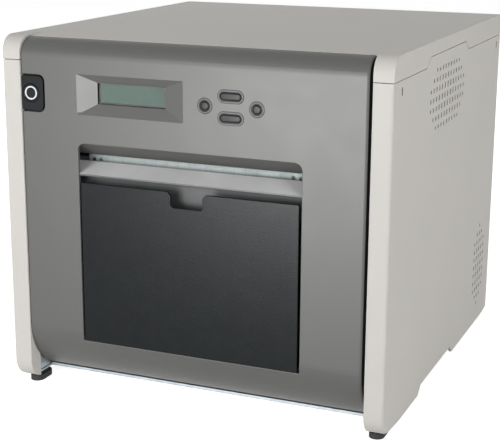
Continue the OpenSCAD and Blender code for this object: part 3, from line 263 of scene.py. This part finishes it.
def boardFinish():
    # solder mask over laminate: green, with paler tracks 1.2 mm apart
    material = makeFinish("solderMask", {"colour": board["mask"], "roughness": 0.3, "ior": 1.55,
                                         "grain": (1.0, 0.01, even)})
    place = addNode(material, "ShaderNodeTexCoord", {})
    cells = addNode(material, "ShaderNodeTexVoronoi",
                    {"distance": "MANHATTAN", "feature": "F1", "Scale": 1 / (board["cell"] * mm)},
                    {"Vector": place.outputs["Object"]})
    line = addNode(material, "ShaderNodeMath", {"operation": "PINGPONG", 1: board["pitch"]},
                   {0: cells.outputs["Distance"]})
    track = addNode(material, "ShaderNodeMath", {"operation": "GREATER_THAN", 1: board["trackFrom"]},
                    {0: line.outputs[0]})
    mix = addNode(material, "ShaderNodeMix",
                  {"data_type": "RGBA", 6: toLinear(board["mask"]), 7: toLinear(board["track"])},
                  {0: track.outputs[0]})
    material.node_tree.links.new(mix.outputs[2], mainShader(material).inputs["Base Color"])
    return material


def clearFinish():
    # clear acrylic window: no colour of its own, a sharp faint reflection, and no shadow on the panel
    material = makeFinish("clearAcrylic", {
        "colour": "#F4FAF7", "roughness": 0.05, "ior": 1.49, "gloss": 0.3,
        "clouds": (30, "#FBFDFC", 0.5), "shader": {"Transmission Weight": 1.0}})
    out = next(node for node in material.node_tree.nodes if node.type == "OUTPUT_MATERIAL")
    clear = addNode(material, "ShaderNodeBsdfTransparent", {})
    lightPath = addNode(material, "ShaderNodeLightPath", {})
    mix = addNode(material, "ShaderNodeMixShader", {},
                  {0: lightPath.outputs["Is Shadow Ray"], 1: mainShader(material).outputs[0],
                   2: clear.outputs[0]})
    material.node_tree.links.new(mix.outputs[0], out.inputs[0])
    return material


finish["paper_white"] = paperFinish()
finish["board_green"] = boardFinish()
finish["display_glass"] = clearFinish()
print("finishes made:", len(finish))

slotOf = {part["node"]: part["material_slot"] for part in frame["record"]["subparts"]}
bodyOf = {name: body for body, names in frame["record"]["behaviour"]["bodies"].items() for name in names}
for nodeName, slot in slotOf.items():
    materials = frame["nodes"][nodeName].data.materials
    materials.clear()
    materials.append(finish[slot])


def addPiece(name, shape, body, materials, replaced=(), bevel=0.0, segments=3, smooth=30, clamp=False):
    mesh = bpy.data.meshes.new(name)
    shape.to_mesh(mesh)
    shape.free()
    for material in materials:
        mesh.materials.append(material)
    mesh.shade_smooth()
    piece = bpy.data.objects.new(name, mesh)
    bpy.context.collection.objects.link(piece)
    if bevel:
        edge = piece.modifiers.new("roundEdges", "BEVEL")
        edge.limit_method = "WEIGHT"
        edge.width = bevel
        edge.segments = segments
        edge.use_clamp_overlap = clamp
        edge.miter_outer = "MITER_ARC"
    mesh.set_sharp_from_angle(angle=math.radians(smooth))
    if bevel:
        shading = piece.modifiers.new("evenShading", "WEIGHTED_NORMAL")
        shading.keep_sharp = True
    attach(piece, body)
    if replaced:
        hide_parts(*replaced)


merge = {"gap": 0.003, "flat": 0.4}  # points this close in mm and faces this flat in degrees become one


def nodeShape(nodeName):
    shape = bmesh.new()
    shape.from_mesh(frame["nodes"][nodeName].data)
    bmesh.ops.remove_doubles(shape, verts=shape.verts, dist=merge["gap"] * mm)
    bmesh.ops.dissolve_limit(shape, angle_limit=math.radians(merge["flat"]), verts=shape.verts,
                             edges=shape.edges, use_dissolve_boundaries=False)
    return shape


def softened(nodeName, pieceName, radiusOf, widest, crease=28, segments=3, smooth=30, clamp=False,
             change=None, extra=(), look=None):
    # a copy of the CAD node with its sharp edges rounded, by a radius in millimetres for each edge
    shape = nodeShape(nodeName)
    if change:
        change(shape)
    weight = shape.edges.layers.float.new("bevel_weight_edge")
    for edge in shape.edges:
        if len(edge.link_faces) == 2 and edge.calc_face_angle(0) > math.radians(crease):
            middle = (edge.verts[0].co + edge.verts[1].co) / (2 * mm)
            along = (edge.verts[1].co - edge.verts[0].co).normalized()
            edge[weight] = max(0.0, min(1.0, radiusOf(middle, along) / widest))
    main = finish[look or slotOf[nodeName]]
    addPiece(pieceName, shape, bodyOf[nodeName], (main,) + tuple(extra), (nodeName,),
             widest * mm, segments, smooth, clamp)


def near(value, target, reach=0.1):
    return abs(value - target) < reach


def beyond(middle, arc):
    # whether a point lies outside an arc that is given by its middle's Y and Z and its radius
    y, z, radius = arc
    return math.hypot(middle.y - y, middle.z - z) > radius


# lengths in millimetres; crown and toe are the round front corners of the side panels
casing = {"half": 161.0, "inner": 145.3, "front": -174.0, "top": 294.0, "seam": (274.3, 283.4),
          "crown": (-160.0, 280.0, 13.8), "toe": (-156.0, 23.0, 17.7), "outerEnd": -155.5,
          "innerEnd": -156.0, "rearFrom": 168.0, "brow": -157.4,
          "outerLeft": 1.4, "outerRight": 4.2, "innerRound": 0.8, "rearRound": 2.0, "browRound": 1.0}
slots = {"wall": (158.6, 160.9), "reach": 168.0, "heights": (14.0, 277.0)}


def casingRound(middle, along):
    seamLow, seamHigh = casing["seam"]
    onSeam = seamLow < middle.z < seamHigh and abs(along.z) < 0.9
    if onSeam or abs(along.x) > 0.9 and middle.z < casing["crown"][1]:
        return 0.0
    if near(abs(middle.x), casing["half"], 0.05):
        if middle.y < casing["outerEnd"]:
            return casing["outerRight"] if middle.x > 0 else casing["outerLeft"]
        atTopOrRear = middle.z > casing["top"] - 3 or middle.y > casing["rearFrom"]
        return casing["rearRound"] if atTopOrRear else 0.0
    if near(abs(middle.x), casing["inner"], 0.05) and abs(along.x) < 0.1:
        onCrown = middle.z > casing["crown"][1] and beyond(middle, casing["crown"])
        onToe = middle.z < casing["toe"][1] and beyond(middle, casing["toe"])
        onFront = middle.y < casing["front"] + 0.1 or onCrown or onToe
        return casing["innerRound"] if onFront and middle.y < casing["innerEnd"] else 0.0
    if near(middle.y, casing["brow"]) and middle.z > casing["top"] - 2 and abs(along.x) > 0.9:
        return casing["browRound"]
    return 0.0


def paintSlots(shape):
    # the walls of the slots through the side get the darker slot finish, which is painted shade
    wallInner, wallOuter = slots["wall"]
    low, high = slots["heights"]
    for face in shape.faces:
        middle = face.calc_center_median() / mm
        inWall = wallInner < abs(middle.x) < wallOuter and abs(face.normal.x) < 0.1
        if inWall and abs(middle.y) < slots["reach"] and low < middle.z < high:
            face.material_index = 1


for nodeName, pieceName in (("side_panel_right", "sidePanelRight"), ("side_panel_left", "sidePanelLeft"),
                            ("top_cover", "topCover")):
    softened(nodeName, pieceName, casingRound, casing["outerRight"], segments=5, clamp=True,
             change=paintSlots, extra=(finish["slot_grey"],))
print("casing made")


# rolledTop and rolledFoot are just inside the skin's arcs, rimStand is how far a key's rim stands out
door = {"left": -144.7, "right": 143.3, "face": -173.0, "rolledTop": (-158.0, 277.6, 14.5),
        "rolledFoot": (-124.0, 57.5, 48.2), "recessSpan": (-95.0, -4.0), "recessLow": 234.85,
        "openingX": (-95.3, 92.9), "openingZ": (48.0, 212.0), "openingDepth": 1.5, "rimStand": 0.5,
        "windowMiddle": (-49.3, 252.1), "windowSize": (58.5, 16.5), "windowWall": (-169.1, -167.2),
        "lipY": (-171.9, -157.0), "lipZ": (186.0, 196.0),
        "roundLeft": 0.7, "roundRight": 2.8, "openingRound": 0.6, "recessRound": 2.2, "rimRound": 0.2}


def doorRound(middle, along):
    onLeft = near(middle.x, door["left"], 0.05)
    onRight = near(middle.x, door["right"], 0.05)
    onTop = middle.z > door["rolledTop"][1] and beyond(middle, door["rolledTop"])
    onFoot = middle.z < door["rolledFoot"][1] and beyond(middle, door["rolledFoot"])
    onSkin = middle.y < door["face"] + 0.1 or onTop or onFoot
    if onSkin and abs(along.x) < 0.1 and (onLeft or onRight):
        return door["roundRight"] if onRight else door["roundLeft"]
    onFace = near(middle.y, door["face"], 0.02)
    recessLeft, recessRight = door["recessSpan"]
    if onFace and near(middle.z, door["recessLow"], 0.05) and recessLeft < middle.x < recessRight:
        return door["recessRound"]
    low, high = door["openingZ"]
    onSide = any(near(middle.x, x) for x in door["openingX"]) or near(middle.z, low) or near(middle.z, high)
    if onSide and (onFace or middle.z < low + 0.2) and low - 1 < middle.z < high + 1:
        inFront = middle.y < door["face"] + door["openingDepth"]
        return door["openingRound"] if inFront and abs(along.y) < 0.5 else 0.0
    if near(middle.y, door["face"] - door["rimStand"], 0.02):
        return door["rimRound"]
    return 0.0


def paintDoor(shape):
    # the window's walls are black; the end in the right gap is painted black as painted shade, and the
    # lip's upper side is painted lighter as painted light
    x, z = door["windowMiddle"]
    wide, high = door["windowSize"]
    wallFront, wallBack = door["windowWall"]
    lipFront, lipBack = door["lipY"]
    lipLow, lipHigh = door["lipZ"]
    for face in shape.faces:
        middle = face.calc_center_median() / mm
        inWindow = near(middle.x, x, wide / 2 + 0.1) and near(middle.z, z, high / 2 + 0.1)
        if inWindow and wallFront < middle.y < wallBack and abs(face.normal.y) < 0.2:
            face.material_index = 1
        # painted light: the lip's upper side gets the lighter lip finish
        if lipFront < middle.y < lipBack and lipLow < middle.z < lipHigh and face.normal.z > 0.3:
            face.material_index = 2
        # painted shade: the door's end in the right gap is painted black for the shade that falls there
        if middle.x > door["right"] - 0.1 and face.normal.x > 0.9:
            face.material_index = 1


softened("front_door", "frontDoor", doorRound, door["roundRight"], crease=12, segments=6, smooth=8,
         change=paintDoor, extra=(finish["black_plastic"], finish["lip_grey"]))
print("door made")


panel = {"frameLeft": 1.6, "frameLow": 1.5, "front": -166.4}


def paintPanel(shape):
    # the viewing area is green, the frame that shows at its left and below it is black
    x, z = door["windowMiddle"]
    wide, high = door["windowSize"]
    sides = (x - wide / 2 + panel["frameLeft"], x + wide / 2)
    ends = (z - high / 2 + panel["frameLow"], z + high / 2)
    cuts = [((side, 0, 0), (1, 0, 0)) for side in sides] + [((0, 0, end), (0, 0, 1)) for end in ends]
    for point, normal in cuts:
        geom = list(shape.verts) + list(shape.edges) + list(shape.faces)
        bmesh.ops.bisect_plane(shape, geom=geom, plane_co=[value * mm for value in point], plane_no=normal)
    for face in shape.faces:
        middle = face.calc_center_median() / mm
        inView = sides[0] < middle.x < sides[1] and ends[0] < middle.z < ends[1]
        face.material_index = 0 if inView and middle.y < panel["front"] else 1


softened("display_module", "displayModule", lambda middle, along: 0.0, 0.1, change=paintPanel,
         extra=(finish["black_plastic"],))


key = {"x": 35.8, "z": 249.5, "out": 21.1, "up": 8.2, "front": -173.8, "back": -170.2, "end": -167.8,
       "flangeThick": 1.2, "stem": 2.8, "sides": 48, "overlap": 0.1}
keyForms = {"round": {"size": (8.6, 8.6), "flange": (2.0, 2.0), "dome": 2.2},
            "long": {"size": (17.8, 6.6), "flange": (2.0, 1.2), "dome": 1.7}}
keyPlaces = {"left": ("round", -1, 0), "right": ("round", 1, 0),
             "up": ("long", 0, 1), "down": ("long", 0, -1)}
rims = {"wide": 1.6, "line": 0.35, "front": -173.04, "back": -172.6}


def keyPlace(side):
    form, out, up = keyPlaces[side]
    return keyForms[form], key["x"] + out * key["out"], key["z"] + up * key["up"]


def addPill(shape, x, z, size, front, back, dome=0.0):
    # a pill standing on the XZ plane from back to front, its front rim rounded by dome
    length, height = size
    turn = Matrix.Translation((x * mm, back * mm, z * mm)) @ Matrix.Rotation(math.radians(90), 4, "X") \
        @ Matrix.Rotation(math.radians(180 / key["sides"]), 4, "Z")
    made = bmesh.ops.create_circle(shape, cap_ends=True, segments=key["sides"], radius=height / 2 * mm,
                                   matrix=turn)["verts"]
    for vert in made:
        vert.co.x += math.copysign((length - height) / 2 * mm, vert.co.x - x * mm)
    base = made[0].link_faces[0]
    grown = bmesh.ops.extrude_face_region(shape, geom=[base], use_keep_orig=True)["geom"]
    tip = [part for part in grown if isinstance(part, bmesh.types.BMVert)]
    bmesh.ops.translate(shape, verts=tip, vec=(0, (front - back) * mm, 0))
    if dome:
        rim = [part for part in grown if isinstance(part, bmesh.types.BMEdge)]
        bmesh.ops.bevel(shape, geom=rim, offset=dome * mm, segments=7, profile=0.5, affect="EDGES",
                        material=-1)


def addKey(side):
    # a domed cap, the flange that holds it behind the door and the stem that presses its switch
    form, x, z = keyPlace(side)
    length, height = form["size"]
    moreLength, moreHeight = form["flange"]
    shape = bmesh.new()
    addPill(shape, x, z, form["size"], key["front"], key["back"] + key["overlap"], form["dome"])
    addPill(shape, x, z, (length + moreLength, height + moreHeight),
            key["back"], key["back"] + key["flangeThick"])
    addPill(shape, x, z, (key["stem"], key["stem"]),
            key["back"] + key["flangeThick"] - 2 * key["overlap"], key["end"])
    bmesh.ops.recalc_face_normals(shape, faces=shape.faces)
    nodeName = "key_" + side
    addPiece("key" + side.capitalize(), shape, bodyOf[nodeName], (finish["key_grey"],), (nodeName,),
             smooth=40)


def addRimShade(name, side):
    # painted shade: a thin dark plate round a key's rim that stands for the shade at the rim's foot, and
    # that also darkens the gap beside the key
    form, x, z = keyPlace(side)
    more = 2 * (rims["wide"] + rims["line"])
    shape = bmesh.new()
    addPill(shape, x, z, [length + more for length in form["size"]], rims["front"], rims["back"])
    bmesh.ops.recalc_face_normals(shape, faces=shape.faces)
    addPiece(name, shape, "door", (finish["black_plastic"],))


for side in keyPlaces:
    addKey(side)
for name, side in (("rimLineRound1", "left"), ("rimLineLong1", "down"), ("rimLineRound3", "right"),
                   ("rimLineLong3", "up")):
    addRimShade(name, side)


tab = {"front": -172.9, "rightFrom": -130.0, "rightRound": 1.4, "frontRound": 0.6, "backRound": 0.2,
       "keyFront": -173.2, "keyRound": 0.5, "keyBackRound": 0.1, "ringRound": 0.25}


def tabRound(middle, along):
    if middle.y < tab["front"]:
        return tab["rightRound"] if middle.x > tab["rightFrom"] else tab["frontRound"]
    return tab["backRound"]


def powerKeyRound(middle, along):
    return tab["keyRound"] if middle.y < tab["keyFront"] else tab["keyBackRound"]


softened("power_tab", "powerTab", tabRound, tab["rightRound"], segments=4, clamp=True)
softened("power_key", "powerKey", powerKeyRound, tab["keyRound"], clamp=True)
softened("power_ring", "powerRing", lambda middle, along: tab["ringRound"], tab["ringRound"], clamp=True)
print("controls made")


scrapBox = {"front": -169.9, "frontRound": 0.5, "backRound": 0.3}


def binRound(middle, along):
    return scrapBox["frontRound"] if middle.y < scrapBox["front"] else scrapBox["backRound"]


softened("scrap_bin", "scrapBin", binRound, scrapBox["frontRound"], clamp=True)
print("bin made")


# one radius in millimetres for all sharp edges of a node; the rear cover, whose slots leave no room for
# rounding, and the cutter's thin wheel keep their CAD meshes
smallRounds = {"feet": 0.8, "base_pan": 0.3, "exit_strip": 0.15, "strip_screws": 0.2, "mains_inlet": 0.5,
               "usb_socket": 0.2, "cover_screws": 0.4, "drive_motor": 0.8, "paper_roll": 0.4,
               "paper_spool": 0.6, "power_supply": 0.4, "fan_housing": 0.6, "cutter_carriage": 0.6,
               "thermal_head": 0.15, "head_arm": 0.3, "exit_beam": 0.4, "bin_shelf": 0.3,
               "paper_guide": 0.3, "spool_cradles": 0.3, "side_frame_left": 0.3, "side_frame_right": 0.3,
               "platen_roller": 0.3, "drive_roller": 0.3, "pinch_roller": 0.3, "drive_gear": 0.15,
               "platen_gear": 0.15, "idler_gear": 0.15, "motor_pinion": 0.15, "cutter_bed": 0.3,
               "cutter_rail": 0.4, "head_shaft": 0.4, "idler_pin": 0.3, "door_magnets": 0.4,
               "strike_plates": 0.3, "door_hinge_pins": 0.4, "supply_film": 0.2, "takeup_film": 0.2,
               "ribbon_supply": 0.3, "ribbon_takeup": 0.3, "fan_rotor": 0.2, "roller_bushes": 0.2,
               "power_switch": 0.2, "key_board": 0.2, "main_board": 0.2, "display_window": 0.15}
# painted shade: the beam behind the outlet gets the dark grey that stands for its shade
otherLooks = {"exit_beam": "beam_grey"}
for nodeName, radius in smallRounds.items():
    words = nodeName.split("_")
    pieceName = words[0] + "".join(word.capitalize() for word in words[1:])
    softened(nodeName, pieceName, lambda middle, along: 1.0, radius, segments=2, clamp=True,
             look=otherLooks.get(nodeName))
print("small roundings made:", len(smallRounds))


white = (1.0, 1.0, 1.0, 1.0)
stage = {"floorHalf": 6.0, "floorColour": "#F2F2F2", "floorGlow": 0.8, "worldLight": 0.2}


def showMask(tree):
    # rays that show the background: straight from the camera, or off gloss, or through glass
    lightPath = addNode(tree, "ShaderNodeLightPath", {})
    either = addNode(tree, "ShaderNodeMath", {"operation": "MAXIMUM"},
                     {0: lightPath.outputs["Is Camera Ray"], 1: lightPath.outputs["Is Glossy Ray"]})
    return addNode(tree, "ShaderNodeMath", {"operation": "MAXIMUM"},
                   {0: either.outputs[0], 1: lightPath.outputs["Is Transmission Ray"]})


def addFloor():
    shape = bmesh.new()
    bmesh.ops.create_grid(shape, x_segments=1, y_segments=1, size=stage["floorHalf"])
    mesh = bpy.data.meshes.new("floor")
    shape.to_mesh(mesh)
    shape.free()
    floor = bpy.data.objects.new("floor", mesh)
    bpy.context.collection.objects.link(floor)
    material = bpy.data.materials.new("paleFloor")
    material.use_nodes = True
    material.node_tree.nodes.clear()
    paint = addNode(material, "ShaderNodeBsdfDiffuse", {"Color": toLinear(stage["floorColour"])})
    shine = addNode(material, "ShaderNodeEmission", {"Color": white, "Strength": stage["floorGlow"]})
    both = addNode(material, "ShaderNodeAddShader", {}, {0: paint.outputs[0], 1: shine.outputs[0]})
    mask = showMask(material)
    mix = addNode(material, "ShaderNodeMixShader", {},
                  {0: mask.outputs[0], 1: paint.outputs[0], 2: both.outputs[0]})
    addNode(material, "ShaderNodeOutputMaterial", {}, {0: mix.outputs[0]})
    mesh.materials.append(material)


def addWorld():
    world = bpy.data.worlds.new("studio")
    bpy.context.scene.world = world
    world.use_nodes = True
    world.node_tree.nodes.clear()
    shown = addNode(world, "ShaderNodeBackground", {"Color": white, "Strength": 1.0})
    lit = addNode(world, "ShaderNodeBackground", {"Color": white, "Strength": stage["worldLight"]})
    mask = showMask(world)
    mix = addNode(world, "ShaderNodeMixShader", {},
                  {0: mask.outputs[0], 1: lit.outputs[0], 2: shown.outputs[0]})
    addNode(world, "ShaderNodeOutputWorld", {}, {0: mix.outputs[0]})


# metres and watts; the front and rear boxes light the object without a reflection of their own, and
# the two cards show only as gloss: one gives the door its sheen, the other the right edges
lamps = {
    "frontBox": {"place": (-0.85, -1.75, 0.55), "aim": (0, -0.17, 0.15), "size": (0.9, 0.8), "power": 19.2,
                 "hidden": "visible_glossy"},
    "rightBox": {"place": (2.0, -1.25, 0.85), "aim": (0, 0, 0.15), "size": (0.9, 0.9), "power": 22.5},
    "rearBox": {"place": (-1.2, 1.6, 1.3), "aim": (0, 0, 0.15), "size": (0.9, 0.9), "power": 17,
                "hidden": "visible_glossy"},
    "glowCard": {"place": (-0.1, -0.88, 0.165), "aim": (0.06, -0.17, 0.2), "size": (0.34, 0.25),
                 "power": 9.3, "hidden": "visible_diffuse"},
    "edgeCard": {"place": (1.5, -0.62, 0.25), "aim": (0.16, -0.17, 0.2), "size": (0.3, 0.9), "power": 7,
                 "hidden": "visible_diffuse"}}


def addSoftLight(name, lamp):
    data = bpy.data.lights.new(name, "AREA")
    data.shape = "RECTANGLE"
    data.size, data.size_y = lamp["size"]
    data.energy = lamp["power"]
    light = bpy.data.objects.new(name, data)
    bpy.context.collection.objects.link(light)
    light.location = lamp["place"]
    light.rotation_euler = (Vector(lamp["aim"]) - Vector(lamp["place"])).to_track_quat("-Z", "Y").to_euler()
    if "hidden" in lamp:
        setattr(light, lamp["hidden"], False)


# place in metres, lens in millimetres, angles in degrees
view = {"place": (0.40978, -1.02882, 0.40718), "lens": 91.78, "tilt": 75.37, "yaw": 22.70, "roll": 0.30}


def addCamera():
    lens = bpy.data.cameras.new("camera")
    lens.sensor_width = 36.0
    lens.lens = view["lens"]
    lens.clip_start = 0.05
    camera = bpy.data.objects.new("camera", lens)
    bpy.context.collection.objects.link(camera)
    camera.location = view["place"]
    turns = [Matrix.Rotation(math.radians(view[angle]), 4, axis)
             for angle, axis in (("yaw", "Z"), ("tilt", "X"), ("roll", "Z"))]
    camera.rotation_euler = (turns[0] @ turns[1] @ turns[2]).to_euler()
    bpy.context.scene.camera = camera


addFloor()
addWorld()
for name, lamp in lamps.items():
    addSoftLight(name, lamp)
addCamera()
bpy.context.scene.view_settings.view_transform = "Standard"
print("stage set")
